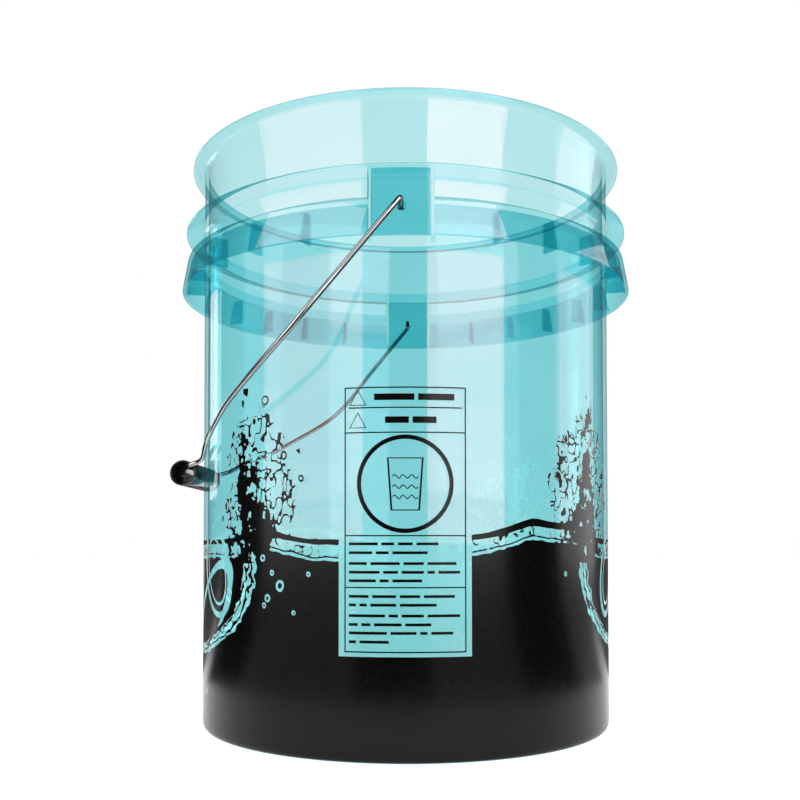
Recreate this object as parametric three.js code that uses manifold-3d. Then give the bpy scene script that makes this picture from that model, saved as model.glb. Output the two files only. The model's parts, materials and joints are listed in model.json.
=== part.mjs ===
// Open-topped twenty litre plastic fermenting bucket with a swinging wire carrying bail.
// Units are millimetres. +Z is up, the bucket axis is Z, the base stands on z = 0.
// The two bail ears face -Y (front) and +Y (back); the bail hangs towards -X.
import * as THREE from 'three';
import Module from 'manifold-3d';

// ---- tub ----
const HEIGHT = 368;             // base to top of rim
const FOOT_R = 130.7;           // outside radius at the base
const MOUTH_R = 140.5;          // outside radius of the wall at full height
const WALL = 2.5;               // wall thickness
const BASE = 3.0;               // base thickness
const FOOT_EDGE = 2.0;          // rounding where base meets wall
const ROUND = 72;               // facets round the tub

// ---- rim lip ----
const RIM_R = 148.3;
const RIM_BOTTOM = 364.8;

// ---- upper ring, a tapered flange ----
const RING_R = 151.3;
const RING_TOP = 321.3;
const RING_EDGE = 1.8;
const RING_SLOPE_TOP = 326.5;   // where the sloped top of the ring meets the wall

// ---- stacking skirt, an inverted L hanging from the wall ----
const SKIRT_TOP = 301.5;
const SKIRT_BOTTOM = 280.3;
const SKIRT_TOP_R = 149.6;
const SKIRT_BOTTOM_R = 152.8;
const SKIRT_THICK = 1.9;
const WEB_THICK = 2.2;
const WEB_SLOPE_TOP = 306.5;    // where the sloped top of the web meets the wall

// ---- gussets under the skirt web ----
const GUSSET_THICK = 1.5;
const GUSSET_FIRST = 22;        // degrees from the ear direction
const GUSSET_STEP = 14.5;       // degrees between neighbours
const GUSSET_COUNT = 5;         // in each quarter turn

// ---- bail ears, hollow boxes open below ----
const EAR_HALF = 18.5;
const EAR_R = 151.5;
const EAR_WALL = 2.0;
const EAR_TOP = 318.2;

// ---- bail ----
const PIVOT_Z = 300;
const WIRE_R = 1.55;
const WIRE_HOLE_R = 1.95;
const ARM_Y = 156.2;            // the arms run parallel outside the rings
const STUB_Y = 141.5;           // inner end of the wire, inside the ear
const HEAD_R = 2.7;
const HEAD_LENGTH = 1.8;

// ---- grip ----
const GRIP_X = -143.6;
const GRIP_Z = 159.3;
const GRIP_R = 8.2;
const GRIP_BORE_R = 7.2;
const GRIP_LENGTH = 78;
const WIRE_OFFSET = 5.5;        // wire sits off centre in the bore, towards the pivot

const GAP = 0.3;                // between faceted curved pieces
const rad = THREE.MathUtils.degToRad;

const wallRadius = (z) => FOOT_R + (MOUTH_R - FOOT_R) * z / HEIGHT;

function plastic(color, opacity) {
  return new THREE.MeshStandardMaterial({
    color, roughness: 0.25, metalness: 0, transparent: opacity < 1, opacity,
  });
}

function named(name, geometry, material) {
  const mesh = new THREE.Mesh(geometry, material);
  mesh.name = name;
  return mesh;
}

// Full turn about Z of a closed [radius, height] outline.
function turned(outline, facets = ROUND) {
  const points = outline.map(([r, z]) => new THREE.Vector2(r, z));
  if (outline[0][0] > 0) points.push(points[0].clone());
  const geometry = new THREE.LatheGeometry(points, facets);
  geometry.rotateX(Math.PI / 2);
  return geometry;
}

// Part turn about Z of a counter-clockwise [radius, height] outline, with flat ends.
function arc(outline, fromDeg, toDeg, steps) {
  const n = outline.length;
  const position = [];
  for (let i = 0; i <= steps; i++) {
    const a = rad(fromDeg + (toDeg - fromDeg) * i / steps);
    for (const [r, z] of outline) position.push(r * Math.cos(a), r * Math.sin(a), z);
  }
  const index = [];
  for (let i = 0; i < steps; i++) {
    for (let j = 0; j < n; j++) {
      const k = (j + 1) % n;
      const a = i * n + j;
      const b = (i + 1) * n + j;
      const c = (i + 1) * n + k;
      const d = i * n + k;
      index.push(a, b, c, a, c, d);
    }
  }
  const flat = outline.map(([r, z]) => new THREE.Vector2(r, z));
  for (const [a, b, c] of THREE.ShapeUtils.triangulateShape(flat, [])) {
    index.push(a, b, c);
    const end = steps * n;
    index.push(end + a, end + c, end + b);
  }
  const geometry = new THREE.BufferGeometry();
  geometry.setAttribute('position', new THREE.Float32BufferAttribute(position, 3));
  geometry.setIndex(index);
  geometry.computeVertexNormals();
  return geometry;
}

const wasm = await Module();
wasm.setup();
const { Manifold, Mesh } = wasm;

// Geometry to manifold solid, joining vertices that share a place.
function toSolid(geometry) {
  const source = geometry.index ? geometry.toNonIndexed() : geometry;
  const p = source.attributes.position;
  const seen = new Map();
  const vertices = [];
  const triangles = [];
  for (let i = 0; i < p.count; i++) {
    const key = [p.getX(i), p.getY(i), p.getZ(i)].map((v) => Math.round(v * 1e4) + 0).join(',');
    if (!seen.has(key)) {
      seen.set(key, seen.size);
      vertices.push(p.getX(i), p.getY(i), p.getZ(i));
    }
    triangles.push(seen.get(key));
  }
  const kept = [];
  for (let i = 0; i < triangles.length; i += 3) {
    const [a, b, c] = triangles.slice(i, i + 3);
    if (a !== b && b !== c && c !== a) kept.push(a, b, c);
  }
  return new Manifold(new Mesh({
    numProp: 3, vertProperties: new Float32Array(vertices), triVerts: new Uint32Array(kept),
  }));
}

function toGeometry(solid) {
  const mesh = solid.getMesh();
  const geometry = new THREE.BufferGeometry();
  geometry.setAttribute('position', new THREE.BufferAttribute(mesh.vertProperties.slice(), 3));
  geometry.setIndex(new THREE.BufferAttribute(mesh.triVerts.slice(), 1));
  geometry.computeVertexNormals();
  return geometry;
}

// Round bar along Y from y0 to y1 at the given x and z.
function barY(radius, y0, y1, x, z, facets = 16) {
  const geometry = new THREE.CylinderGeometry(radius, radius, y1 - y0, facets);
  geometry.translate(x, (y0 + y1) / 2, z);
  return geometry;
}

// U-shaped ear on the +Y side: curved front panel and two side plates, wire hole through the panel.
function earGeometry() {
  const swing = Math.asin(EAR_HALF / EAR_R);
  const shape = new THREE.Shape();
  const steps = 6;
  const backY = (x) => Math.sqrt((wallRadius(EAR_TOP) + GAP) ** 2 - x * x);
  shape.moveTo(EAR_HALF, backY(EAR_HALF));
  for (let i = 0; i <= steps; i++) {
    const a = swing - 2 * swing * i / steps;
    shape.lineTo(EAR_R * Math.sin(a), EAR_R * Math.cos(a));
  }
  shape.lineTo(-EAR_HALF, backY(EAR_HALF));
  const innerX = EAR_HALF - EAR_WALL;
  shape.lineTo(-innerX, backY(innerX));
  const innerR = EAR_R - EAR_WALL;
  const innerSwing = Math.asin(innerX / innerR);
  for (let i = 0; i <= steps; i++) {
    const a = -innerSwing + 2 * innerSwing * i / steps;
    shape.lineTo(innerR * Math.sin(a), innerR * Math.cos(a));
  }
  shape.lineTo(innerX, backY(innerX));
  shape.closePath();
  const body = new THREE.ExtrudeGeometry(shape, {
    depth: EAR_TOP - SKIRT_BOTTOM, bevelEnabled: false,
  });
  body.translate(0, 0, SKIRT_BOTTOM);
  const hole = barY(WIRE_HOLE_R, EAR_R - 8, EAR_R + 8, 0, PIVOT_Z);
  return toGeometry(toSolid(body).subtract(toSolid(hole)));
}

// Centre line of the bail from the back ear, round the grip, to the front ear.
function bailPath() {
  const toPivot = new THREE.Vector2(-GRIP_X, PIVOT_Z - GRIP_Z).normalize();
  const wireX = GRIP_X + WIRE_OFFSET * toPivot.x;
  const wireZ = GRIP_Z + WIRE_OFFSET * toPivot.y;
  const arm = rad(51);          // slope of the straight arms below horizontal
  const along = (s) => [-s * Math.cos(arm), ARM_Y, PIVOT_Z - s * Math.sin(arm)];
  const half = [
    [0, STUB_Y, PIVOT_Z],
    [0, STUB_Y + 6, PIVOT_Z],
    [0, ARM_Y - 3, PIVOT_Z],
    [-0.5, ARM_Y - 0.8, PIVOT_Z - 0.6],
    along(3.6),
    along(50),
    along(97),
    [-98.5, 119, 193.5],
    [-110.3, 98, 183.5],
    [-118.5, 78, 177.7],
    [-124.4, 61, 172.7],
    [-127.6, 51.8, 168.4],
    [-132, 46.2, 165.6],
    [-137.3, 44.2, 164],
    [wireX + 0.3, GRIP_LENGTH / 2 + 2.6, wireZ + 0.2],
    [wireX, GRIP_LENGTH / 2 - 2, wireZ],
    [wireX, GRIP_LENGTH / 2 - 14, wireZ],
    [wireX, 10, wireZ],
  ];
  const back = half.map(([x, y, z]) => new THREE.Vector3(x, y, z));
  const front = half.map(([x, y, z]) => new THREE.Vector3(x, -y, z)).reverse();
  return new THREE.CatmullRomCurve3([...back, ...front], false, 'centripetal');
}

function bailGeometry() {
  const section = new THREE.Shape();
  section.absarc(0, 0, WIRE_R, 0, Math.PI * 2, false);
  const wire = new THREE.ExtrudeGeometry(section, {
    steps: 150, curveSegments: 5, bevelEnabled: false, extrudePath: bailPath(),
  });
  let solid = toSolid(wire);
  for (const side of [-1, 1]) {
    const inner = side * (STUB_Y - 0.1);
    const outer = side * (STUB_Y - 0.1 + HEAD_LENGTH);
    const head = barY(HEAD_R, Math.min(inner, outer), Math.max(inner, outer), 0, PIVOT_Z);
    solid = solid.add(toSolid(head));
  }
  return toGeometry(solid);
}

const group = new THREE.Group();
group.name = 'fermenting_bucket';

const aqua = plastic(0x4fbcc6, 0.5);
const steel = new THREE.MeshStandardMaterial({ color: 0xb9bcc0, roughness: 0.25, metalness: 1 });
const black = plastic(0x101112, 1);

group.add(named('tub_base', turned([
  [0, 0],
  [FOOT_R - FOOT_EDGE, 0],
  [wallRadius(0.8) - 0.5, 0.8],
  [wallRadius(BASE), BASE],
  [0, BASE],
]), aqua));

group.add(named('tub_wall', turned([
  [wallRadius(BASE) - WALL, BASE],
  [wallRadius(BASE), BASE],
  [wallRadius(RIM_BOTTOM), RIM_BOTTOM],
  [wallRadius(RIM_BOTTOM) - WALL, RIM_BOTTOM],
]), aqua));

group.add(named('rim_lip', turned([
  [MOUTH_R - WALL, RIM_BOTTOM],
  [RIM_R, RIM_BOTTOM],
  [RIM_R, HEIGHT - 1],
  [RIM_R - 1, HEIGHT],
  [MOUTH_R - WALL + 1, HEIGHT],
  [MOUTH_R - WALL, HEIGHT - 1],
]), aqua));

const ringBottom = RING_TOP - RING_EDGE;
group.add(named('upper_ring', turned([
  [wallRadius(318) + 0.1, ringBottom - 1.2],
  [wallRadius(318) + 3, ringBottom - 1],
  [RING_R, ringBottom],
  [RING_R, RING_TOP],
  [wallRadius(RING_SLOPE_TOP) + 0.1, RING_SLOPE_TOP],
]), aqua));

const webUnder = SKIRT_TOP - WEB_THICK;
const lean = (SKIRT_BOTTOM_R - SKIRT_TOP_R) / (SKIRT_TOP - SKIRT_BOTTOM);
const skirtRadius = (z) => SKIRT_TOP_R + lean * (SKIRT_TOP - z);
const earTurn = THREE.MathUtils.radToDeg(Math.asin((EAR_HALF + GAP) / wallRadius(SKIRT_TOP)));
const arcs = { right: [-90 + earTurn, 90 - earTurn], left: [90 + earTurn, 270 - earTurn] };
for (const [side, [from, to]] of Object.entries(arcs)) {
  group.add(named(`skirt_web_${side}`, arc([
    [wallRadius(webUnder) + GAP, webUnder],
    [SKIRT_TOP_R - SKIRT_THICK - 0.1, webUnder],
    [SKIRT_TOP_R - SKIRT_THICK - 0.1, SKIRT_TOP],
    [wallRadius(WEB_SLOPE_TOP) + GAP, WEB_SLOPE_TOP],
  ], from, to, 32), aqua));
  group.add(named(`skirt_wall_${side}`, arc([
    [SKIRT_BOTTOM_R - SKIRT_THICK, SKIRT_BOTTOM],
    [SKIRT_BOTTOM_R, SKIRT_BOTTOM],
    [SKIRT_TOP_R, SKIRT_TOP],
    [SKIRT_TOP_R - SKIRT_THICK, SKIRT_TOP],
  ], from, to, 32), aqua));
}

// One thin radial web under the skirt, at the given angle from +X.
function gussetGeometry(angleDeg) {
  const inner = (z) => wallRadius(z) + GAP;
  const outer = (z) => skirtRadius(z) - SKIRT_THICK - 2 * GAP;
  const shape = new THREE.Shape();
  shape.moveTo(inner(SKIRT_BOTTOM), SKIRT_BOTTOM);
  shape.lineTo(outer(SKIRT_BOTTOM), SKIRT_BOTTOM);
  shape.lineTo(outer(webUnder), webUnder);
  shape.lineTo(inner(webUnder), webUnder);
  shape.closePath();
  const geometry = new THREE.ExtrudeGeometry(shape, { depth: GUSSET_THICK, bevelEnabled: false });
  geometry.translate(0, 0, -GUSSET_THICK / 2);
  geometry.rotateX(Math.PI / 2);
  geometry.rotateZ(rad(angleDeg));
  return geometry;
}

let gusset = 0;
for (const ear of [-90, 90]) {
  for (const way of [-1, 1]) {
    for (let i = 0; i < GUSSET_COUNT; i++) {
      gusset += 1;
      const name = `skirt_gusset_${String(gusset).padStart(2, '0')}`;
      const angle = ear + way * (GUSSET_FIRST + GUSSET_STEP * i);
      group.add(named(name, gussetGeometry(angle), aqua));
    }
  }
}

const earBack = earGeometry();
const earFront = earBack.clone().rotateZ(Math.PI);
group.add(named('bail_ear_back', earBack, aqua));
group.add(named('bail_ear_front', earFront, aqua));

group.add(named('bail_wire', bailGeometry(), steel));

const grip = turned([
  [GRIP_BORE_R, -GRIP_LENGTH / 2],
  [GRIP_R - 0.5, -GRIP_LENGTH / 2],
  [GRIP_R, -GRIP_LENGTH / 2 + 0.5],
  [GRIP_R, GRIP_LENGTH / 2 - 0.5],
  [GRIP_R - 0.5, GRIP_LENGTH / 2],
  [GRIP_BORE_R, GRIP_LENGTH / 2],
], 32);
grip.rotateX(-Math.PI / 2);
grip.translate(GRIP_X, 0, GRIP_Z);
group.add(named('grip_tube', grip, black));

export default group;
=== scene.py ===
"""Looks of the clear plastic fermenting bucket: one seamless moulding, wire bail, tube grip, print."""
import json
import math

import bmesh
import bpy
import numpy as np
from mathutils import Matrix, Vector


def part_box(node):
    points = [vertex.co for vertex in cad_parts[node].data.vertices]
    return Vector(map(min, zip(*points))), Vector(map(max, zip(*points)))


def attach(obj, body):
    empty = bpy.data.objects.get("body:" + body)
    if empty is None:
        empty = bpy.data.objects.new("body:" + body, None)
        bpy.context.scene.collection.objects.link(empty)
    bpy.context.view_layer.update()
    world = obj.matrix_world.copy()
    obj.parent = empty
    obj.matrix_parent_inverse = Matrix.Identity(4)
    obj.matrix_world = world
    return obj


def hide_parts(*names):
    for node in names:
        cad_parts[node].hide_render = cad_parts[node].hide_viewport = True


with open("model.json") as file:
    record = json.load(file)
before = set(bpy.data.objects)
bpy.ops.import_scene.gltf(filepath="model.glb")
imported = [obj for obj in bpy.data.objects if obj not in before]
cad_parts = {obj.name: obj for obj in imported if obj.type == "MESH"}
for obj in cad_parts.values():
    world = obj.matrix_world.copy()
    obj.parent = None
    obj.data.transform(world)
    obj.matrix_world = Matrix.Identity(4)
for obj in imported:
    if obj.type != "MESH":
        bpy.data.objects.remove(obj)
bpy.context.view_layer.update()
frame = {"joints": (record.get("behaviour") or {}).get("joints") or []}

MM = 0.001

# ---------------------------------------------------------------- sizes from the frame, in mm
rim_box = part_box("rim_lip")
ring_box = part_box("upper_ring")
skirt_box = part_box("skirt_wall_right")
grip_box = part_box("grip_tube")
ear_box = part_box("bail_ear_back")
pivot = [j for j in frame["joints"] if j["name"] == "bail_swing"][0]["pos_m"]

HEIGHT = round(rim_box[1][2] / MM, 1)
RIM_R = rim_box[1][0] / MM
RING_R = ring_box[1][0] / MM
RING_TOP = 321.3            # top of the ring's outer edge
SKIRT_BOTTOM = skirt_box[0][2] / MM
SKIRT_TOP = skirt_box[1][2] / MM
SKIRT_R = skirt_box[1][0] / MM
MOUTH_R = 140.5             # outside of the wall, carried up to the full height
FOOT_NOMINAL = 130.7        # outside of the wall, carried down to the floor
WALL = 2.5
BASE = 3.0
PIVOT_Z = pivot[2] / MM
EAR_HALF = ear_box[1][0] / MM
EAR_R = 151.5               # outside of the ear's front panel, at its middle
EAR_TOP = 319.8
EAR_WALL = 2.0
EAR_HOLE_R = 1.95
GUSSETS_A_SIDE = 5          # of each ear
GUSSET_FIRST = 22           # degrees from the middle of the ear
GUSSET_STEP = 14.5          # degrees
GUSSET_THICK = 1.5
GUSSET_LOW = 281.2
GUSSET_HIGH = 299.8
GRIP_X = (grip_box[0][0] + grip_box[1][0]) / 2 / MM
GRIP_Z = (grip_box[0][2] + grip_box[1][2]) / 2 / MM
GRIP_HALF = grip_box[1][1] / MM
GRIP_R = (grip_box[1][2] - grip_box[0][2]) / 2 / MM
GRIP_BORE = 7.2
WIRE_R = 1.55
WIRE_OFFSET = 5.5           # from the grip's axis to the wire's, which lies just clear of the bore
ARM_Y = 156.2               # straight part of each wire arm
ARM_SLOPE = 51              # degrees below level at rest

ROUND = 192                 # facets round the moulding


def wall_r(z):
    """Outside radius of the tapered wall at height z, in mm."""
    return FOOT_NOMINAL + (MOUTH_R - FOOT_NOMINAL) * z / HEIGHT


CORNER_TOP = 7.0
CORNER = [(0.0, 127.0), (0.25, 128.4), (0.9, 129.5), (1.9, 130.2), (3.4, 130.65),
          (CORNER_TOP, wall_r(CORNER_TOP))]     # (z, r) of the rounded corner at the base


def outer_r(z):
    """Outside radius at height z, in mm, with the rounded corner at the base."""
    if z >= CORNER_TOP:
        return wall_r(z)
    for (z0, r0), (z1, r1) in zip(CORNER, CORNER[1:]):
        if z <= z1:
            return r0 + (r1 - r0) * (z - z0) / (z1 - z0)
    return wall_r(z)


# ---------------------------------------------------------------- mesh helpers
def new_object(name, bm, smooth_deg=35.0):
    mesh = bpy.data.meshes.new(name)
    bm.to_mesh(mesh)
    bm.free()
    obj = bpy.data.objects.new(name, mesh)
    bpy.context.scene.collection.objects.link(obj)
    finish_shading(obj, smooth_deg)
    return obj


def finish_shading(obj, smooth_deg):
    mesh = obj.data
    if smooth_deg:
        mesh.polygons.foreach_set("use_smooth", [True] * len(mesh.polygons))
        mesh.set_sharp_from_angle(angle=math.radians(smooth_deg))
    mesh.update()


def revolve(profile, name, facets=ROUND, on_axis=False):
    """Closed body of revolution of a counter-clockwise (r, z) outline in mm."""
    bm = bmesh.new()
    rings = []
    for r, z in profile:
        if r == 0:
            rings.append([bm.verts.new((0, 0, z * MM))])
        else:
            rings.append([
                bm.verts.new((r * MM * math.cos(t), r * MM * math.sin(t), z * MM))
                for t in (2 * math.pi * i / facets for i in range(facets))
            ])
    pairs = list(zip(rings, rings[1:]))
    if not on_axis:
        pairs.append((rings[-1], rings[0]))
    for low, high in pairs:
        for i in range(facets):
            k = (i + 1) % facets
            if len(low) == 1:
                bm.faces.new((low[0], high[k], high[i]))
            elif len(high) == 1:
                bm.faces.new((low[i], low[k], high[0]))
            else:
                bm.faces.new((low[i], low[k], high[k], high[i]))
    bmesh.ops.recalc_face_normals(bm, faces=bm.faces[:])
    return new_object(name, bm)


def sweep_arc(profile, from_deg, to_deg, steps, name):
    """Part turn of a closed (r, z) outline in mm, with flat ends."""
    bm = bmesh.new()
    rows = []
    for i in range(steps + 1):
        t = math.radians(from_deg + (to_deg - from_deg) * i / steps)
        rows.append([bm.verts.new((r * MM * math.cos(t), r * MM * math.sin(t), z * MM))
                     for r, z in profile])
    n = len(profile)
    for a, b in zip(rows, rows[1:]):
        for j in range(n):
            k = (j + 1) % n
            bm.faces.new((a[j], b[j], b[k], a[k]))
    bm.faces.new(rows[0])
    bm.faces.new(list(reversed(rows[-1])))
    bmesh.ops.recalc_face_normals(bm, faces=bm.faces[:])
    return new_object(name, bm)


def prism(outline, name, transform, depth):
    """A flat outline (u, v) in mm pushed through depth mm, centred, then placed by transform."""
    bm = bmesh.new()
    sides = []
    for w in (-depth / 2, depth / 2):
        sides.append([bm.verts.new(transform(u, v, w)) for u, v in outline])
    n = len(outline)
    for j in range(n):
        k = (j + 1) % n
        bm.faces.new((sides[0][j], sides[0][k], sides[1][k], sides[1][j]))
    bm.faces.new(list(reversed(sides[0])))
    bm.faces.new(sides[1])
    bmesh.ops.recalc_face_normals(bm, faces=bm.faces[:])
    return new_object(name, bm)


def tube(points, radius, name, sides):
    """Smooth round bar along points (mm), parallel-transported."""
    pts = [Vector(p) * MM for p in points]
    bm = bmesh.new()
    normal = None
    rows = []
    for i, p in enumerate(pts):
        ahead = pts[min(i + 1, len(pts) - 1)] - pts[max(i - 1, 0)]
        tangent = ahead.normalized()
        if normal is None:
            normal = tangent.orthogonal().normalized()
        else:
            normal = (normal - tangent * normal.dot(tangent)).normalized()
        side = tangent.cross(normal)
        r = radius(i / (len(pts) - 1)) if callable(radius) else radius
        rows.append([
            bm.verts.new(p + (normal * math.cos(t) + side * math.sin(t)) * r * MM)
            for t in (2 * math.pi * k / sides for k in range(sides))
        ])
    for a, b in zip(rows, rows[1:]):
        for j in range(sides):
            k = (j + 1) % sides
            bm.faces.new((a[j], a[k], b[k], b[j]))
    bm.faces.new(list(reversed(rows[0])))
    bm.faces.new(rows[-1])
    bmesh.ops.recalc_face_normals(bm, faces=bm.faces[:])
    return new_object(name, bm)


def catmull(points, per_span):
    """Centripetal Catmull-Rom points through the given points."""
    pts = [np.array(p, float) for p in points]
    pts = [2 * pts[0] - pts[1]] + pts + [2 * pts[-1] - pts[-2]]
    out = []
    for p0, p1, p2, p3 in zip(pts, pts[1:], pts[2:], pts[3:]):
        t0 = 0.0
        t1 = t0 + max(np.linalg.norm(p1 - p0), 1e-6) ** 0.5
        t2 = t1 + max(np.linalg.norm(p2 - p1), 1e-6) ** 0.5
        t3 = t2 + max(np.linalg.norm(p3 - p2), 1e-6) ** 0.5
        for t in np.linspace(t1, t2, per_span, endpoint=False):
            a1 = (t1 - t) / (t1 - t0) * p0 + (t - t0) / (t1 - t0) * p1
            a2 = (t2 - t) / (t2 - t1) * p1 + (t - t1) / (t2 - t1) * p2
            a3 = (t3 - t) / (t3 - t2) * p2 + (t - t2) / (t3 - t2) * p3
            b1 = (t2 - t) / (t2 - t0) * a1 + (t - t0) / (t2 - t0) * a2
            b2 = (t3 - t) / (t3 - t1) * a2 + (t - t1) / (t3 - t1) * a3
            out.append(tuple((t2 - t) / (t2 - t1) * b1 + (t - t1) / (t2 - t1) * b2))
    out.append(tuple(pts[-2]))
    return out


def combine(target, others, operation="UNION"):
    """Boolean of target with each other body in turn; the others are removed."""
    for other in others:
        mod = target.modifiers.new("join", "BOOLEAN")
        mod.operation = operation
        mod.solver = "MANIFOLD"
        mod.object = other
    depsgraph = bpy.context.evaluated_depsgraph_get()
    mesh = bpy.data.meshes.new_from_object(target.evaluated_get(depsgraph))
    target.modifiers.clear()
    old = target.data
    target.data = mesh
    bpy.data.meshes.remove(old)
    for other in others:
        bpy.data.objects.remove(other, do_unlink=True)
    return target


# ---------------------------------------------------------------- materials
def material(name):
    mat = bpy.data.materials.new(name)
    mat.use_nodes = True
    nodes, links = mat.node_tree.nodes, mat.node_tree.links
    shader = nodes["Principled BSDF"]
    return mat, nodes, links, shader


def grey(value):
    return (value, value, value, 1)


def noise_bump(nodes, links, shader, scale, strength, distance, detail):
    """Noise in the object's own coordinates, as a faint bump on the shader; gives back the noise."""
    coord = nodes.new("ShaderNodeTexCoord")
    noise = nodes.new("ShaderNodeTexNoise")
    noise.inputs["Scale"].default_value = scale
    noise.inputs["Detail"].default_value = detail
    links.new(coord.outputs["Object"], noise.inputs["Vector"])
    bump = nodes.new("ShaderNodeBump")
    bump.inputs["Strength"].default_value = strength
    bump.inputs["Distance"].default_value = distance
    links.new(noise.outputs["Fac"], bump.inputs["Height"])
    links.new(bump.outputs["Normal"], shader.inputs["Normal"])
    return noise


def ramp(nodes, links, source, low, high, start=0.35, stop=0.65):
    node = nodes.new("ShaderNodeValToRGB")
    node.color_ramp.elements[0].position = start
    node.color_ramp.elements[1].position = stop
    node.color_ramp.elements[0].color = low
    node.color_ramp.elements[1].color = high
    links.new(source, node.inputs["Fac"])
    return node


ONE_LAYER_DEEP = (0.700, 0.925, 0.942)      # what one face lets through
ONE_LAYER_PALE = (0.716, 0.934, 0.950)


def clear_aqua(name, layers, base_share=0.045, facing_tint=(1.0, 0.42, 0.42, 1),
               grazing_tint=(0.80, 0.86, 0.88, 1)):
    """Thin clear tinted plastic: each face passes light straight through with its share of the tint.

    layers is how many times the tint counts, base_share the part that reflects face on, and the two
    tints colour the reflection face on and at a grazing angle.
    """
    mat, nodes, links, shader = material(name)
    nodes.remove(shader)
    gloss = nodes.new("ShaderNodeBsdfGlossy")
    noise = noise_bump(nodes, links, gloss, 35.0, 0.04, 0.0001, 2.0)
    tint = ramp(nodes, links, noise.outputs["Fac"],
                tuple(c ** layers for c in ONE_LAYER_DEEP) + (1,),
                tuple(c ** layers for c in ONE_LAYER_PALE) + (1,))
    through = nodes.new("ShaderNodeBsdfTransparent")
    links.new(tint.outputs["Color"], through.inputs["Color"])
    facing = nodes.new("ShaderNodeLayerWeight")
    facing.inputs["Blend"].default_value = 0.5
    sheen = ramp(nodes, links, facing.outputs["Facing"], facing_tint, grazing_tint, 0.35, 0.72)
    links.new(sheen.outputs["Color"], gloss.inputs["Color"])
    rough = ramp(nodes, links, noise.outputs["Fac"], grey(0.045), grey(0.06))
    links.new(rough.outputs["Color"], gloss.inputs["Roughness"])
    power = nodes.new("ShaderNodeMath")
    power.operation = "POWER"
    power.inputs[1].default_value = 5.0
    links.new(facing.outputs["Facing"], power.inputs[0])
    share = nodes.new("ShaderNodeMath")
    share.operation = "MULTIPLY_ADD"
    share.inputs[1].default_value = 0.45
    share.inputs[2].default_value = base_share
    links.new(power.outputs[0], share.inputs[0])
    mix = nodes.new("ShaderNodeMixShader")
    links.new(share.outputs[0], mix.inputs["Fac"])
    links.new(through.outputs[0], mix.inputs[1])
    links.new(gloss.outputs[0], mix.inputs[2])
    links.new(mix.outputs[0], nodes["Material Output"].inputs["Surface"])
    return mat


def print_ink():
    mat, nodes, links, shader = material("print_black_ink")
    shader.inputs["IOR"].default_value = 1.45
    shader.inputs["Specular IOR Level"].default_value = 0.18
    noise = noise_bump(nodes, links, shader, 420.0, 0.03, 0.00002, 2.0)
    shade = ramp(nodes, links, noise.outputs["Fac"], grey(0.0009), grey(0.0013))
    links.new(shade.outputs["Color"], shader.inputs["Base Color"])
    rough = ramp(nodes, links, noise.outputs["Fac"], grey(0.17), grey(0.22))
    links.new(rough.outputs["Color"], shader.inputs["Roughness"])
    return mat


def print_backing():
    mat, nodes, links, shader = material("print_backing_painted_glow")
    shader.inputs["Specular IOR Level"].default_value = 0.2
    shader.inputs["Roughness"].default_value = 0.6
    # painted light: the backing glows so the print's back reads bright through the wall, where the inside
    # of the bucket gets little light
    shader.inputs["Emission Color"].default_value = (0.78, 0.49, 0.42, 1)
    shader.inputs["Emission Strength"].default_value = 1.0
    noise = noise_bump(nodes, links, shader, 300.0, 0.05, 0.00005, 2.0)
    shade = ramp(nodes, links, noise.outputs["Fac"], grey(0.48), grey(0.53))
    links.new(shade.outputs["Color"], shader.inputs["Base Color"])
    return mat


def steel_wire():
    mat, nodes, links, shader = material("plated_steel_wire")
    shader.inputs["Metallic"].default_value = 1.0
    noise = noise_bump(nodes, links, shader, 900.0, 0.06, 0.00003, 4.0)
    shade = ramp(nodes, links, noise.outputs["Fac"], (0.26, 0.26, 0.27, 1), (0.36, 0.36, 0.37, 1))
    links.new(shade.outputs["Color"], shader.inputs["Base Color"])
    rough = ramp(nodes, links, noise.outputs["Fac"], grey(0.06), grey(0.11))
    links.new(rough.outputs["Color"], shader.inputs["Roughness"])
    return mat


def grip_black():
    mat, nodes, links, shader = material("glossy_black_plastic")
    shader.inputs["IOR"].default_value = 1.5
    noise = noise_bump(nodes, links, shader, 260.0, 0.06, 0.0001, 3.0)
    shade = ramp(nodes, links, noise.outputs["Fac"], (0.006, 0.006, 0.007, 1), (0.012, 0.012, 0.013, 1))
    links.new(shade.outputs["Color"], shader.inputs["Base Color"])
    rough = ramp(nodes, links, noise.outputs["Fac"], grey(0.06), grey(0.14))
    links.new(rough.outputs["Color"], shader.inputs["Roughness"])
    return mat


AQUA = clear_aqua("clear_aqua_plastic", 1.0)
AQUA_THICK = clear_aqua("clear_aqua_plastic_thick", 2.0)
AQUA_FLANGE = clear_aqua("clear_aqua_plastic_flange", 0.8, 0.06, grazing_tint=(1.0, 0.74, 0.76, 1))
AQUA_GUSSET = clear_aqua("clear_aqua_plastic_gusset", 2.8)
AQUA_SKIRT = clear_aqua("clear_aqua_plastic_skirt", 1.8, 0.06, (1.0, 0.6, 0.62, 1))
AQUA_LIP = clear_aqua("clear_aqua_plastic_lip", 1.5, 0.035, (0.45, 0.62, 0.65, 1))
INK = print_ink()
BACKING = print_backing()
STEEL = steel_wire()
BLACK = grip_black()


def wear(obj, mat):
    obj.data.materials.clear()
    obj.data.materials.append(mat)


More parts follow.
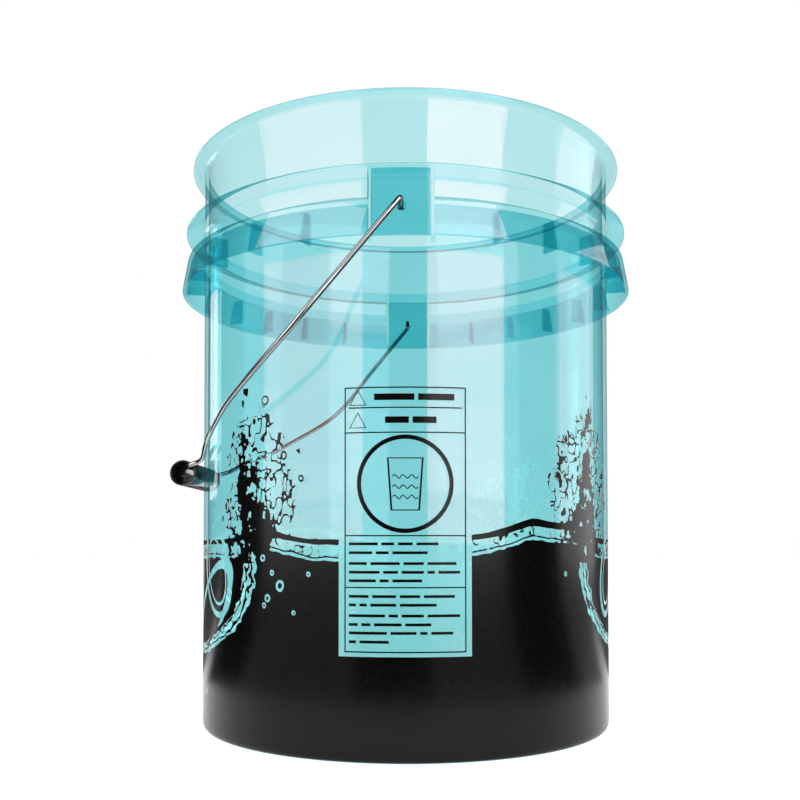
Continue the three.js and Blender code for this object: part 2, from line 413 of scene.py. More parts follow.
# ---------------------------------------------------------------- the moulding
def tub_outline():
    """Counter-clockwise (r, z) outline of base, wall, ring and rim, from the axis underneath."""
    corner = [(r, z) for z, r in CORNER]
    wall = [(wall_r(z), z) for z in (150.0, 279.0, 315.6)]
    ring = [
        (wall_r(317) + 0.35, 317.0), (wall_r(318) + 1.2, 318.2), (wall_r(318) + 3.2, 318.8),
        (RING_R - 0.6, 319.5), (RING_R - 0.15, 319.7), (RING_R, 320.1), (RING_R, 320.8),
        (RING_R - 0.2, 321.1), (RING_R - 0.6, RING_TOP), (wall_r(325) + 2.2, 325.3),
        (wall_r(326) + 0.8, 326.1), (wall_r(327) + 0.15, 327.0), (wall_r(328.4), 328.4),
    ]
    rim = [
        (wall_r(345), 345.0), (wall_r(363), 363.0), (wall_r(364) + 0.4, 364.2),
        (wall_r(364) + 1.4, 364.8), (RIM_R - 0.7, 365.0), (RIM_R - 0.15, 365.25),
        (RIM_R, 365.8), (RIM_R - 0.1, 366.6), (RIM_R - 0.8, 367.4), (RIM_R - 2.0, 367.85),
        (RIM_R - 3.6, HEIGHT),
    ]
    mouth = MOUTH_R - WALL
    inside = [
        (mouth + 1.6, HEIGHT), (mouth + 0.5, 367.6), (mouth, 366.6), (wall_r(362) - WALL, 362.0),
        (wall_r(200) - WALL, 200.0), (wall_r(9) - WALL, 9.0), (wall_r(6) - WALL - 0.9, 5.4),
        (wall_r(3) - WALL - 3.0, 3.4), (wall_r(3) - WALL - 6.0, BASE), (0, BASE),
    ]
    return [(0, 0.0)] + corner + wall + ring + rim + inside


def skirt_outline():
    """(r, z) outline of the skirt: hanging wall, rounded edge and sloped web up to the tub wall."""
    return [
        (wall_r(299.3) - 1.2, 299.3), (SKIRT_R - 5.4, 299.3), (SKIRT_R - 5.1, 298.9),
        (SKIRT_R - 1.9, 280.6), (SKIRT_R - 1.6, SKIRT_BOTTOM), (SKIRT_R - 0.3, SKIRT_BOTTOM),
        (SKIRT_R, 280.6), (SKIRT_R - 2.95, 300.6), (SKIRT_R - 3.2, 301.3),
        (SKIRT_R - 3.7, SKIRT_TOP), (wall_r(306) + 1.4, 305.9), (wall_r(307) + 0.3, 306.8),
        (wall_r(308) - 1.2, 308.2),
    ]


def build_gusset(angle_deg):
    """One upright radial plate between the tub wall and the skirt wall."""
    angle = math.radians(angle_deg)
    c, s = math.cos(angle), math.sin(angle)

    def place(u, v, w):
        return ((u * c - w * s) * MM, (u * s + w * c) * MM, v * MM)

    outline = [
        (wall_r(281) - 1.2, GUSSET_LOW), (SKIRT_R - 1.2, GUSSET_LOW),
        (SKIRT_R - 4.2, GUSSET_HIGH), (wall_r(300) - 1.2, GUSSET_HIGH),
    ]
    return prism(outline, "gusset", place, GUSSET_THICK)


def build_moulding():
    body = revolve(tub_outline(), "moulding", on_axis=True)
    ear_turn = math.degrees(math.asin((EAR_HALF - 0.6) / SKIRT_R))
    parts = [sweep_arc(skirt_outline(), start + ear_turn, start + 180 - ear_turn, ROUND // 2, "skirt")
             for start in (-90, 90)]
    for ear in (-90, 90):
        for way in (-1, 1):
            for i in range(GUSSETS_A_SIDE):
                parts.append(build_gusset(ear + way * (GUSSET_FIRST + GUSSET_STEP * i)))
    for way in (-1, 1):
        parts.append(build_ear(way))
    return combine(body, parts)


def build_ear(way):
    """Hollow ear on the +Y (1) or -Y (-1) side: front panel and two side plates, wire hole."""
    def outline(half, radius, back):
        swing = math.asin(half / radius)
        front = [(radius * math.sin(swing * (1 - i / 6)), radius * math.cos(swing * (1 - i / 6)))
                 for i in range(13)]
        return [(half, back)] + front + [(-half, back)]

    def upright(u, v, w):
        return (u * way * MM, v * way * MM, (w + (SKIRT_BOTTOM + EAR_TOP) / 2) * MM)

    def level(u, v, w):
        return (u * MM, (w + way * EAR_R) * MM, (v + PIVOT_Z) * MM)

    depth = EAR_TOP - SKIRT_BOTTOM
    shell = prism(outline(EAR_HALF, EAR_R, 136.6), "ear", upright, depth)
    hollow = prism(outline(EAR_HALF - EAR_WALL, EAR_R - EAR_WALL, 130.0), "ear_hollow", upright,
                   depth + 2 * EAR_WALL)
    circle = [(EAR_HOLE_R * math.cos(t), EAR_HOLE_R * math.sin(t))
              for t in (math.pi * k / 12 for k in range(24))]
    hole = prism(circle, "ear_hole", level, 16)
    return combine(shell, [hollow, hole], "DIFFERENCE")


THICK, FLANGE, LIP, GUSSET, SKIRT = range(1, 6)     # material slots of the moulding, after the plain one
RING_LOW, RING_HIGH = 316.5, 322.0                  # the ring's flange and lip lie between these
RIM_LOW, RIM_ROUND = 363.9, 367.2                   # where the rim starts, and where it rounds over
SLOPE_HIGH = (327, 308)                             # where the slopes of ring and skirt have run out


def mark_thick_faces(obj):
    """Give each face of ear, gusset, slope, skirt, flange and lip its own tint and reflection."""
    for face in obj.data.polygons:
        x, y, z = (c / MM for c in face.center)
        if z < SKIRT_BOTTOM - 1:
            continue
        r = math.hypot(x, y)
        outside = r > wall_r(z) + 0.2
        edge = outside and (z > RIM_LOW or RING_LOW < z < RING_HIGH)
        flat = edge and abs(face.normal.z) > 0.6 and r < RING_R - 1.0 and z < RIM_ROUND
        ear = abs(x) < EAR_HALF + 0.3 and r > wall_r(z) + 3 and z < EAR_TOP + 0.1
        sideways = outside and z < SKIRT_TOP and abs(face.normal.x * y - face.normal.y * x) > 0.8 * r
        sloped = RING_TOP - 0.1 < z < SLOPE_HIGH[0] or SKIRT_TOP < z < SLOPE_HIGH[1]
        slope = outside and face.normal.z > 0.6 and sloped
        hanging = outside and z < SKIRT_TOP - 0.5 and r > SKIRT_R - 5.6
        if ear:
            face.material_index = THICK
        elif sideways or slope:
            face.material_index = GUSSET
        elif hanging:
            face.material_index = SKIRT
        elif flat:
            face.material_index = FLANGE
        elif edge or z > RIM_ROUND:
            face.material_index = LIP


moulding = build_moulding()
finish_shading(moulding, 30)
moulding.name = "bucket_moulding"
wear(moulding, AQUA)
for special in (AQUA_THICK, AQUA_FLANGE, AQUA_LIP, AQUA_GUSSET, AQUA_SKIRT):
    moulding.data.materials.append(special)
mark_thick_faces(moulding)
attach(moulding, "pail")
pail_nodes = ["tub_base", "tub_wall", "rim_lip", "upper_ring", "skirt_web_left", "skirt_web_right",
              "skirt_wall_left", "skirt_wall_right", "bail_ear_front", "bail_ear_back"]
pail_nodes += [f"skirt_gusset_{i:02d}" for i in range(1, 21)]
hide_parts(*pail_nodes)


# ---------------------------------------------------------------- bail and grip
def bail_points():
    """Route of the wire, given point by point: hole, arm, shoulder, grip, and the same again mirrored."""
    to_pivot = np.array([-GRIP_X, PIVOT_Z - GRIP_Z])
    to_pivot /= np.linalg.norm(to_pivot)
    wire_x = GRIP_X + WIRE_OFFSET * to_pivot[0]
    wire_z = GRIP_Z + WIRE_OFFSET * to_pivot[1]
    slope = math.radians(ARM_SLOPE)

    def along(s):
        return (-s * math.cos(slope), ARM_Y, PIVOT_Z - s * math.sin(slope))

    half = [
        (0, 141.5, PIVOT_Z), (0, 147.5, PIVOT_Z), (0, 153.2, PIVOT_Z),
        (-0.5, 155.4, PIVOT_Z - 0.6), along(3.6), along(50), along(97),
        (-98.5, 119, 193.5), (-110.3, 98, 183.5), (-118.5, 78, 177.7), (-124.4, 61, 172.7),
        (-127.6, 51.8, 168.4), (-132, 46.2, 165.6), (-137.3, 44.2, 164),
        (wire_x + 0.3, GRIP_HALF + 2.6, wire_z + 0.2), (wire_x, GRIP_HALF - 2, wire_z),
        (wire_x, GRIP_HALF - 14, wire_z), (wire_x, 10, wire_z),
    ]
    return half + [(x, -y, z) for x, y, z in reversed(half)]


bail = tube(catmull(bail_points(), 10), WIRE_R, "wire", sides=20)
# distance from the bucket axis and radius, along the upset end of the wire
HEAD = [(141.3, 1.2), (141.35, 2.3), (141.6, 2.65), (142.9, 2.65), (143.2, 2.2), (143.25, 1.2)]


def head_radius(t):
    return HEAD[round(t * (len(HEAD) - 1))][1]


heads = [tube([(0, way * y, PIVOT_Z) for y, _ in HEAD], head_radius, "head", sides=20) for way in (-1, 1)]
bail = combine(bail, heads)
finish_shading(bail, 50)
bail.name = "bail_wire_formed"
wear(bail, STEEL)
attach(bail, "bail")
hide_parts("bail_wire")


def build_grip():
    """Tube with a turned groove near each end, laid along Y."""
    h = GRIP_HALF
    r = GRIP_R
    profile = [
        (GRIP_BORE, -h + 0.3), (GRIP_BORE + 0.1, -h + 0.1), (GRIP_BORE + 0.3, -h),
        (r - 0.3, -h), (r - 0.1, -h + 0.1), (r, -h + 0.3),
    ]
    profile += [(r, -h + 4.0), (r - 0.25, -h + 4.4), (r - 0.25, -h + 5.2), (r, -h + 5.6)]
    profile += [(r, -10), (r, 10)]
    profile += [(r, h - 5.6), (r - 0.25, h - 5.2), (r - 0.25, h - 4.4), (r, h - 4.0)]
    profile += [
        (r, h - 0.3), (r - 0.1, h - 0.1), (r - 0.3, h), (GRIP_BORE + 0.3, h),
        (GRIP_BORE + 0.1, h - 0.1), (GRIP_BORE, h - 0.3),
    ]
    grip = revolve(profile, "grip_tube_moulded", facets=64)
    turn = Matrix.Rotation(-math.pi / 2, 4, "X")
    move = Matrix.Translation((GRIP_X * MM, 0, GRIP_Z * MM))
    grip.data.transform(move @ turn)
    return grip


grip = build_grip()
wear(grip, BLACK)
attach(grip, "grip")
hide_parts("grip_tube")


# ---------------------------------------------------------------- print
INK_LIFT = 0.14             # mm in front of the wall
BACKING_LIFT = 0.07
CELL = 0.55                 # mm, of the grid that the contour is cut on
PRINT_LOW = 0.6
PRINT_HIGH = 204.0
ROUND_MM = 849.0            # once round the wall where the print is
MM_PER_DEG = 2.36
NOTICE_AT = 0.85            # degrees from the front
WINDOW_HALF = 15.7          # degrees
WINDOW_LOW = 54.7
EMBLEMS = (-84.0, 96.0)     # middle of each splash, degrees from the front
CRESTS = (33, 213)
FIELD_TOP = 105.0
LINE_AT = 115.0
SPLASH_HALF = 46.0          # degrees
SPLASH_AT, SPLASH_REACH = 108.0, 62.0
SPLASH_POWER = 2.3          # a little squarer than an ellipse
PLUME_OUT = 41              # degrees from the middle of the splash
DROP_LINE = 118             # drops above are ink, drops below are clear
LATTICE_ROWS = 512


def on_wall(a_deg, z, lift):
    """Point on the outside of the wall; angle 0 faces -Y and grows towards +X."""
    a = math.radians(a_deg)
    r = (outer_r(z) + lift) * MM
    return (r * math.sin(a), -r * math.cos(a), z * MM)


def value_noise(u, v, period, seed):
    """Smooth lattice noise, -1 to 1, repeating in u after period cells."""
    table = np.random.RandomState(seed).uniform(-1, 1, (LATTICE_ROWS, period))
    iu = np.floor(u).astype(int)
    iv = np.floor(v).astype(int)
    fu = u - iu
    fv = v - iv
    fu = fu * fu * (3 - 2 * fu)
    fv = fv * fv * (3 - 2 * fv)
    row, next_row = iv % LATTICE_ROWS, (iv + 1) % LATTICE_ROWS
    a = table[row, iu % period]
    b = table[row, (iu + 1) % period]
    c = table[next_row, iu % period]
    d = table[next_row, (iu + 1) % period]
    return (a * (1 - fu) + b * fu) * (1 - fv) + (c * (1 - fu) + d * fu) * fv


def fractal(turn, z, base, stretch, seed, octaves):
    """Sum of noises round the bucket; base is cells in a full turn, z in mm."""
    total = np.zeros_like(turn)
    weight = 1.0
    for k in range(octaves):
        period = base * 2 ** k
        cell = ROUND_MM / period
        total += weight * value_noise(turn * period, z / (cell * stretch) + 40, period, seed + k)
        weight *= 0.55
    return total


def turn_gap(a, b):
    """Degrees from b to a the short way round."""
    return (a - b + 180) % 360 - 180


# centre across and up, half axes, tilt (radians) and half the line width, in mm
RIPPLES = (
    (62.0, 6.0, 19.0, 27.0, 0.45, 1.3),
    (62.0, 6.0, 13.0, 20.5, 0.45, 0.6),
    (48.0, -22.0, 44.0, 17.0, 0.75, 1.6),
    (-58.0, 4.0, 17.0, 26.0, -0.4, 1.3),
    (-58.0, 4.0, 11.5, 19.5, -0.4, 0.6),
    (0.0, 4.0, 28.0, 24.0, 0.0, 1.3),
    (0.0, 4.0, 20.0, 16.5, 0.0, 0.6),
)
# degrees from the front, height and radius in mm
DROPS = (
    (-35.5, 195.5, 1.9), (-60.0, 163.0, 1.6), (-29.5, 163.0, 1.5), (-24.5, 150.0, 1.3),
    (-30.5, 91.0, 2.6), (-33.0, 98.0, 1.5), (-34.5, 84.0, 1.9), (-35.5, 80.0, 1.4),
    (-26.5, 76.5, 1.2), (-22.5, 97.5, 1.5), (-36.0, 106.0, 1.6), (-66.0, 26.0, 1.7),
    (44.0, 97.0, 1.1),
)


def waves(a, z, rel, noises):
    """Black field with two crests, a bold line above it, and an outline and flecks in the band between."""
    fine, tall, curl, swirl, broad = noises
    crest = sum(10.5 * np.exp(-((np.abs(turn_gap(a, at)) / 12) ** 1.5)) for at in CRESTS)
    lift = 6 * np.exp(-(((rel - 48) / 9) ** 2))
    top = FIELD_TOP + crest + lift + 0.5 * broad
    field = top - z + 0.45 * fine + 0.5 * tall
    line_z = LINE_AT + crest + lift * 0.9 + 0.3 * broad
    line = 1.5 + 0.07 * crest + 0.25 * fine - np.abs(z - line_z)
    band = np.minimum(z - top - 0.8, line_z - z - 1.4)
    outline = np.minimum(0.42 - np.abs(z - top - 2.1 - 0.6 * tall), fine + 0.75)
    flecks = np.minimum(swirl - 0.55, 0.4 * band)
    flecks = np.maximum(flecks, np.minimum(0.10 - np.abs(curl - 0.1), 0.3 * band - 0.4))
    flecks = np.minimum(flecks, 0.9 - np.abs(fine))
    return np.maximum(np.maximum(field, outline), np.maximum(line, flecks))


def with_border(ink, z, edge, noises):
    """A clear border that sweeps down and under each splash, with two thin seams of ink in it."""
    fine, tall, curl, _, broad = noises
    ripple = edge + 0.014 * fine + 0.012 * broad
    border = 0.050 - np.abs(ripple - 0.955)
    seam = np.minimum(0.009 - np.abs(ripple - 0.965 - 0.016 * tall), (fine + 0.8) * 0.05)
    seam = np.maximum(seam, 0.0075 - np.abs(ripple - 0.925 - 0.012 * curl))
    mm_wide = 60
    drawn = np.maximum(-border * mm_wide, seam * mm_wide)
    return np.where((z < 116) & (border > 0), drawn, ink)


def with_ripples(ink, a, z, edge):
    """Plain ripple rings inside each splash."""
    side = turn_gap(a, np.where(np.abs(turn_gap(a, EMBLEMS[0])) < 90, EMBLEMS[0], EMBLEMS[1]))
    across = side * MM_PER_DEG
    up = z - 92.0
    inside = (edge < 0.88) & (z < 128)
    for cx, cy, ax, ay, tilt, wide in RIPPLES:
        c, s = math.cos(tilt), math.sin(tilt)
        pu = (across - cx) * c + (up - cy) * s
        pv = -(across - cx) * s + (up - cy) * c
        ring = np.abs(np.sqrt((pu / ax) ** 2 + (pv / ay) ** 2) - 1) * min(ax, ay) - wide
        ink = np.where(inside, np.minimum(ink, ring), ink)
    return ink


def with_plumes(ink, a, z, noises):
    """Plumes thrown up at each edge of a splash: a dark broken core, with lace and blots round it."""
    fine, tall, curl, swirl, broad = noises
    plume = np.full_like(a, -9.0)
    for centre in EMBLEMS:
        for way in (-1, 1):
            out = turn_gap(a, centre + way * PLUME_OUT) * way * MM_PER_DEG
            rise = (z - 104) / 70
            half = 18.5 * np.clip(1.06 - rise, 0, 1) ** 0.7
            core = (half - np.abs(out - 8 + 7 * rise)) / 9 + 0.7 * tall + 0.45 * fine - 0.05
            core = np.minimum(core, 0.62 - fine + 0.3 * tall)
            reach = 1.0 - ((out - 7) / 33) ** 2 - ((z - 142) / 46) ** 2 + 0.35 * broad + 0.35 * swirl
            lace = np.minimum(0.17 - np.abs(curl + 0.15 * fine), np.minimum(reach, swirl + 0.75))
            blot = np.minimum(curl + 0.5 * tall - 0.95, reach)
            plume = np.maximum(plume, np.maximum(core, np.maximum(lace, blot)))
    return np.where(z > 103, np.maximum(ink, plume), ink)


def with_drops(ink, a, z, curl):
    """Loose drops, each again after a half turn: ink rings above, clear rings in the black."""
    for da, dz, r in DROPS:
        for turn_by in (0, 180):
            du = turn_gap(a, da + turn_by) * MM_PER_DEG
            dv = z - dz
            d = np.sqrt((du * 0.85 + dv * 0.3) ** 2 + (dv * 0.8 - du * 0.3) ** 2) + 0.35 * curl
            if dz > DROP_LINE:
                ink = np.maximum(ink, 0.45 - np.abs(d - r))
            else:
                ink = np.minimum(ink, np.maximum(d - r, r * 0.45 - d))
    return ink


def print_field(a, z):
    """Above zero where there is ink. a in degrees from the front, z in mm."""
    turn = (a % 360) / 360
    fine = fractal(turn, z, 176, 1.0, 11, 3)
    tall = fractal(turn, z, 120, 2.2, 31, 3)
    curl = fractal(turn, z, 210, 1.3, 53, 2)
    swirl = fractal(turn, z, 116, 1.25, 67, 2)
    broad = fractal(turn, z, 24, 1.0, 71, 3)
    noises = (fine, tall, curl, swirl, broad)

    rel = np.minimum(np.abs(turn_gap(a, EMBLEMS[0])), np.abs(turn_gap(a, EMBLEMS[1])))
    edge = (rel / SPLASH_HALF) ** SPLASH_POWER + (np.abs(z - SPLASH_AT) / SPLASH_REACH) ** SPLASH_POWER
    edge = edge ** (1 / SPLASH_POWER)
    ink = waves(a, z, rel, noises)
    ink = with_border(ink, z, edge, noises)
    ink = with_ripples(ink, a, z, edge)
    ink = with_plumes(ink, a, z, noises)
    ink = with_drops(ink, a, z, curl)

    # the clear window of the notice panel
    window = np.minimum(WINDOW_HALF - np.abs(turn_gap(a, NOTICE_AT)), z - WINDOW_LOW)
    return np.where(window > 0, -np.maximum(window, 0.02), ink)


def print_mesh(name, lift):
    """Ink area cut out of the wall surface by the contour of print_field."""
    columns = int(round(ROUND_MM / CELL))
    rows = int(round((PRINT_HIGH - PRINT_LOW) / CELL))
    angle = np.linspace(-180, 180, columns + 1)
    height = np.linspace(PRINT_LOW, PRINT_HIGH, rows + 1)
    ga, gz = np.meshgrid(angle, height, indexing="ij")
    value = print_field(ga, gz)
    value[-1] = value[0]        # both ends of the turn are one column
    value = np.clip(value, -1.5, 1.5)
    value[np.abs(value) < 1e-4] = 1e-4
    wet = value > 0
    bm = bmesh.new()
    cache = {}

    def vert(key, a, z):
        if key not in cache:
            cache[key] = bm.verts.new(on_wall(a, z, lift))
        return cache[key]

    def corner(i, j):
        return vert((i % columns, j), angle[i], height[j])

    def cut(i0, j0, i1, j1):
        key = tuple(sorted([(i0 % columns, j0), (i1 % columns, j1)]))
        t = value[i0, j0] / (value[i0, j0] - value[i1, j1])
        a = angle[i0] + (angle[i1] - angle[i0]) * t
        return vert(key, a, height[j0] + (height[j1] - height[j0]) * t)

    full = wet[:-1, :-1] & wet[1:, :-1] & wet[:-1, 1:] & wet[1:, 1:]
    some = (wet[:-1, :-1] | wet[1:, :-1] | wet[:-1, 1:] | wet[1:, 1:]) & ~full
    for i in range(columns):
        j = 0
        while j < rows:
            if full[i, j]:
                k = j
                while k < rows and full[i, k] and (k == j or height[k] > CORNER_TOP + 0.5):
                    k += 1
                bm.faces.new((corner(i, j), corner(i + 1, j), corner(i + 1, k), corner(i, k)))
                j = k
            else:
                j += 1
    for i, j in zip(*np.nonzero(some)):
        ring = [(i, j), (i + 1, j), (i + 1, j + 1), (i, j + 1)]
        poly = []
        for p, q in zip(ring, ring[1:] + ring[:1]):
            if wet[p]:
                poly.append(corner(*p))
            if wet[p] != wet[q]:
                poly.append(cut(*p, *q))
        poly = list(dict.fromkeys(poly))
        if len(poly) >= 3:
            bm.faces.new(poly)
    return new_object(name, bm, 0)


PATCH_STEP = 1.2            # degrees, so that a printed mark follows the round wall


def patches(name, boxes, lift):
    """Flat printed marks: each is (angle from, angle to, z from, z to) or a list of (a, z) points."""
    bm = bmesh.new()
    for box in boxes:
        if len(box) == 4 and not isinstance(box[0], tuple):
            a0, a1, z0, z1 = box
            steps = max(1, int(abs(a1 - a0) / PATCH_STEP))
            across = [a0 + (a1 - a0) * i / steps for i in range(steps + 1)]
            low = [bm.verts.new(on_wall(a, z0, lift)) for a in across]
            high = [bm.verts.new(on_wall(a, z1, lift)) for a in across]
            for i in range(steps):
                bm.faces.new((low[i], low[i + 1], high[i + 1], high[i]))
        else:
            bm.faces.new([bm.verts.new(on_wall(a, z, lift)) for a, z in box])
    return new_object(name, bm, 0)


def strip(points, wide, closed=False):
    """Quads of a drawn line of the given width (mm) through (a, z) points."""
    flat = [(a * MM_PER_DEG, z) for a, z in points]
    n = len(flat)
    quads = []
    offs = []
    for i in range(n):
        p = flat[(i - 1) % n] if closed or i > 0 else flat[i]
        q = flat[(i + 1) % n] if closed or i < n - 1 else flat[i]
        dx, dy = q[0] - p[0], q[1] - p[1]
        d = math.hypot(dx, dy) or 1
        offs.append((-dy / d * wide / 2, dx / d * wide / 2))
    for i in range(n if closed else n - 1):
        k = (i + 1) % n
        (x0, y0), (x1, y1) = flat[i], flat[k]
        (ox0, oy0), (ox1, oy1) = offs[i], offs[k]
        quad = [(x0 - ox0, y0 - oy0), (x1 - ox1, y1 - oy1), (x1 + ox1, y1 + oy1), (x0 + ox0, y0 + oy0)]
        quads.append([(x / MM_PER_DEG, y) for x, y in quad])
    return quads


def notice_marks():
    """Plain notice panel: frame, rules, a ring with a bucket outline, and rows of bars."""
    half, low, high, line = 14.2, 57.0, 199.0, 0.75
    wide = line / MM_PER_DEG
    marks = [
        (-half, half, low, low + line), (-half, half, high - line, high),
        (-half, -half + wide, low, high), (half - wide, half, low, high),
        (-half + 1.0, half - 1.0, 187.2, 187.9), (-half, half, 173.6, 174.3),
        (-half, half, 118.0, 118.7), (-half, half, 90.6, 91.3),
    ]
    turns = [2 * math.pi * k / 64 for k in range(64)]
    middle, ring_r = 146, 25.3
    ring = [(ring_r / MM_PER_DEG * math.cos(t), middle + 0.2 + ring_r * math.sin(t)) for t in turns]
    marks += strip(ring, 2.4, True)
    pail = [(-9.5, 14), (-7.5, -14), (7.5, -14), (9.5, 14)]
    marks += strip([(x / MM_PER_DEG, middle + y) for x, y in pail], 1.2, True)
    for level in (4, -1.5, -7):
        wave = [(-7 + 14 * k / 20, level + 1.0 * math.sin(k * 0.942)) for k in range(21)]
        marks += strip([(x / MM_PER_DEG, middle + y) for x, y in wave], 0.6)
    for level in (193.2, 180.8):
        tri = [(-30.5, -4.2), (-21.5, -4.2), (-26.0, 4.0)]
        marks += strip([(x / MM_PER_DEG, level + y) for x, y in tri], 0.85, True)
    headings = ((193.4, ((-17, 5), (7, 27))), (180.8, ((-11, 2), (4, 17))))
    lines = (
        (114.0, ((-31, -15), (-13, -6), (-4, 4), (6, 18))),
        (109.3, ((-31, -18), (-16, -9), (-7, 12))),
        (103.6, ((-31, -21), (-19, -3), (-1, 10), (12, 28))),
        (99.0, ((-31, -14), (-12, -4), (-2, 10), (12, 16), (18, 30))),
        (94.5, ((-31, -16), (-14, -9), (-7, 9))),
        (86.3, ((-31, -20), (-18, -5), (-3, 8), (10, 27))),
        (81.8, ((-31, -27), (-25, -21), (-19, -5), (-3, 17))),
        (76.2, ((-31, -11), (-9, -4), (-2, 10), (12, 30))),
        (71.6, ((-31, -26), (-24, -19), (-17, -2), (0, 14))),
        (67.2, ((-31, -10), (-8, 6), (8, 12), (14, 26))),
        (62.6, ((-31, -27), (-25, -9))),
    )
    for rows, tall in ((headings, 3.6), (lines, 1.5)):
        for z, spans in rows:
            for x0, x1 in spans:
                marks.append((x0 / MM_PER_DEG, x1 / MM_PER_DEG, z - tall / 2, z + tall / 2))
    return marks


splash = print_mesh("print_splash", INK_LIFT)
wear(splash, INK)
backing = print_mesh("print_splash_backing", BACKING_LIFT)
wear(backing, BACKING)
notice = patches("print_notice_panel", notice_marks(), INK_LIFT)
notice.data.transform(Matrix.Rotation(math.radians(NOTICE_AT), 4, "Z"))
wear(notice, INK)
for piece in (splash, backing, notice):
    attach(piece, "pail")


# ---------------------------------------------------------------- stage, light and camera, in metres
FLOOR_HALF = 6.0
FLOOR_Z = -0.0002
FLAG_Z = 0.0004
FLAG_NEAR, FLAG_FAR = 0.27, 5.5
PANEL_FAR = 2.0             # from the bucket's axis to each softbox
SOFT_LEFT = (-79, -21)      # degrees from the front, as are the next two
SOFT_RIGHT = (12, 53)
SOFT_FAR_RIGHT = (89, 124)


def build_stage():
    bm = bmesh.new()
    bm.faces.new([bm.verts.new((x * FLOOR_HALF, y * FLOOR_HALF, FLOOR_Z)) for x, y in
                  ((-1, -1), (1, -1), (1, 1), (-1, 1))])
    floor = new_object("floor", bm, 0)
    mat, _, _, shader = material("studio_floor")
    shader.inputs["Base Color"].default_value = (0.86, 0.86, 0.86, 1)
    shader.inputs["Roughness"].default_value = 0.7
    shader.inputs["Specular IOR Level"].default_value = 0.1
    shader.inputs["Emission Color"].default_value = (1, 1, 1, 1)
    shader.inputs["Emission Strength"].default_value = 0.45
    wear(floor, mat)


def build_flags():
    """Cloths on the floor, seen only in reflections, as a studio uses to cut floor glare; lit ones glow:
    painted light.
    """
    bm = bmesh.new()
    fan = (-115, -100, -79, -60, -40, -21, -5, 12, 26, 40, 53, 65, 77, 89, 100, 115)
    dark, under_softbox, behind = range(3)
    edge = [(math.sin(math.radians(t)), -math.cos(math.radians(t)), t) for t in fan]
    for (sx, sy, t0), (ex, ey, t1) in zip(edge, edge[1:]):
        corners = [(sx, sy, FLAG_NEAR), (sx, sy, FLAG_FAR), (ex, ey, FLAG_FAR), (ex, ey, FLAG_NEAR)]
        face = bm.faces.new([bm.verts.new((r * x, r * y, FLAG_Z)) for x, y, r in corners])
        lit = any(low <= t0 and t1 <= high for low, high in (SOFT_LEFT, SOFT_RIGHT, SOFT_FAR_RIGHT))
        face.material_index = under_softbox if lit else dark
    for side in (-1, 1):
        corners = [(0.15, 0.16), (5.0, 2.4), (5.0, 5.5), (0.15, 5.5)]
        face = bm.faces.new([bm.verts.new((side * x, y, FLAG_Z)) for x, y in corners])
        face.material_index = behind
    flags = new_object("floor_flags", bm, 0)
    # the glow is painted light: a bright cloth where a softbox lights the floor, a dimmer glow behind the
    # bucket
    for name, glow in (("cloth_dark", 0.0), ("cloth_painted_softbox_light", 0.55), ("cloth_painted_pale_light", 0.14)):
        mat, _, _, shader = material(name)
        shader.inputs["Base Color"].default_value = (0.01, 0.01, 0.01, 1)
        shader.inputs["Roughness"].default_value = 0.9
        shader.inputs["Specular IOR Level"].default_value = 0.0
        shader.inputs["Emission Color"].default_value = (1, 1, 1, 1)
        shader.inputs["Emission Strength"].default_value = glow
        flags.data.materials.append(mat)
    flags.visible_camera = False
    flags.visible_diffuse = False
    flags.visible_transmission = False
    flags.visible_shadow = False


def build_world():
    """White to the camera and to diffuse light, but dim in reflections, paler behind the bucket."""
    world = bpy.data.worlds.new("studio")
    world.use_nodes = True
    nodes, links = world.node_tree.nodes, world.node_tree.links
    nodes.clear()
    out = nodes.new("ShaderNodeOutputWorld")
    bright = nodes.new("ShaderNodeBackground")
    bright.inputs["Color"].default_value = (1, 1, 1, 1)
    bright.inputs["Strength"].default_value = 1.0
    dim = nodes.new("ShaderNodeBackground")
    dim.inputs["Strength"].default_value = 1.0
    coord = nodes.new("ShaderNodeTexCoord")
    axes = nodes.new("ShaderNodeSeparateXYZ")
    links.new(coord.outputs["Generated"], axes.inputs[0])
    shade = ramp(nodes, links, axes.outputs["Y"], grey(0.03), grey(0.11), 0.05, 0.6)
    links.new(shade.outputs["Color"], dim.inputs["Color"])
    path = nodes.new("ShaderNodeLightPath")
    seen = path.outputs["Is Camera Ray"]
    for other in ("Is Transmission Ray", "Is Diffuse Ray"):
        either = nodes.new("ShaderNodeMath")
        either.operation = "MAXIMUM"
        links.new(seen, either.inputs[0])
        links.new(path.outputs[other], either.inputs[1])
        seen = either.outputs[0]
    mix = nodes.new("ShaderNodeMixShader")
    links.new(seen, mix.inputs["Fac"])
    links.new(dim.outputs[0], mix.inputs[1])
    links.new(bright.outputs[0], mix.inputs[2])
    links.new(mix.outputs[0], out.inputs["Surface"])
    bpy.context.scene.world = world


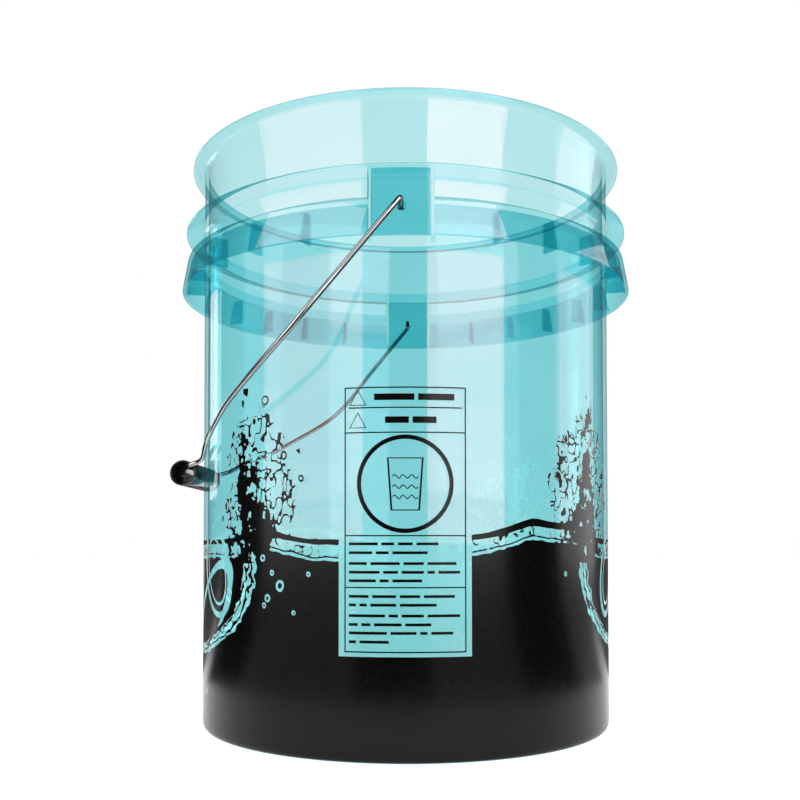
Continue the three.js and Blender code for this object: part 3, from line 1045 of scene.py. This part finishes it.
def softbox(name, span, low, high, radiance):
    """Upright soft panel that fills a span of degrees from the front, aimed at the bucket."""
    from_deg, to_deg = span
    middle = math.radians((from_deg + to_deg) / 2)
    spread = math.radians(abs(to_deg - from_deg) / 2)
    light = bpy.data.lights.new(name, "AREA")
    light.shape = "RECTANGLE"
    light.size = 2 * PANEL_FAR * math.tan(spread)
    light.size_y = high - low
    light.energy = radiance * math.pi * light.size * light.size_y
    obj = bpy.data.objects.new(name, light)
    bpy.context.scene.collection.objects.link(obj)
    place = Vector((PANEL_FAR * math.sin(middle), -PANEL_FAR * math.cos(middle), (low + high) / 2))
    obj.location = place
    look = Vector((-place.x, -place.y, 0))
    obj.rotation_euler = look.to_track_quat("-Z", "Y").to_euler()
    obj.visible_camera = False
    obj.visible_transmission = False


build_stage()
build_world()
softbox("soft_left", SOFT_LEFT, 0.0, 2.4, 3.0)
softbox("soft_right", SOFT_RIGHT, 0.0, 2.4, 4.5)
softbox("soft_far_right", SOFT_FAR_RIGHT, 0.0, 1.3, 2.8)
softbox("strip_left", (-136, -123), 0.2, 0.95, 4.0)
build_flags()

# the camera that was fitted to the photograph
SENSOR = 36.0               # mm
LENS = 41.9265              # mm
PITCH = 8.71                # degrees, as are the next two
YAW = -0.337
TURN = 0.9
DISTANCE = 0.638
EYE_HEIGHT = 0.1146
BOUNCES = 28                # a sight line can cross that many clear faces

camera_data = bpy.data.cameras.new("camera")
camera_data.sensor_width = SENSOR
camera_data.lens = LENS
camera = bpy.data.objects.new("camera", camera_data)
bpy.context.scene.collection.objects.link(camera)
turn = Matrix.Rotation(math.radians(TURN), 4, "Z")
eye = turn @ Vector((0, -DISTANCE, EYE_HEIGHT))
yaw, pitch = math.radians(YAW), math.radians(PITCH)
gaze = turn @ Vector((math.sin(yaw) * math.cos(pitch), math.cos(yaw) * math.cos(pitch), math.sin(pitch)))
camera.location = eye
camera.rotation_euler = gaze.to_track_quat("-Z", "Y").to_euler()
scene = bpy.context.scene
scene.camera = camera
scene.view_settings.view_transform = "Standard"
scene.cycles.max_bounces = BOUNCES
scene.cycles.transmission_bounces = BOUNCES
scene.cycles.transparent_max_bounces = BOUNCES
scene.cycles.glossy_bounces = 6
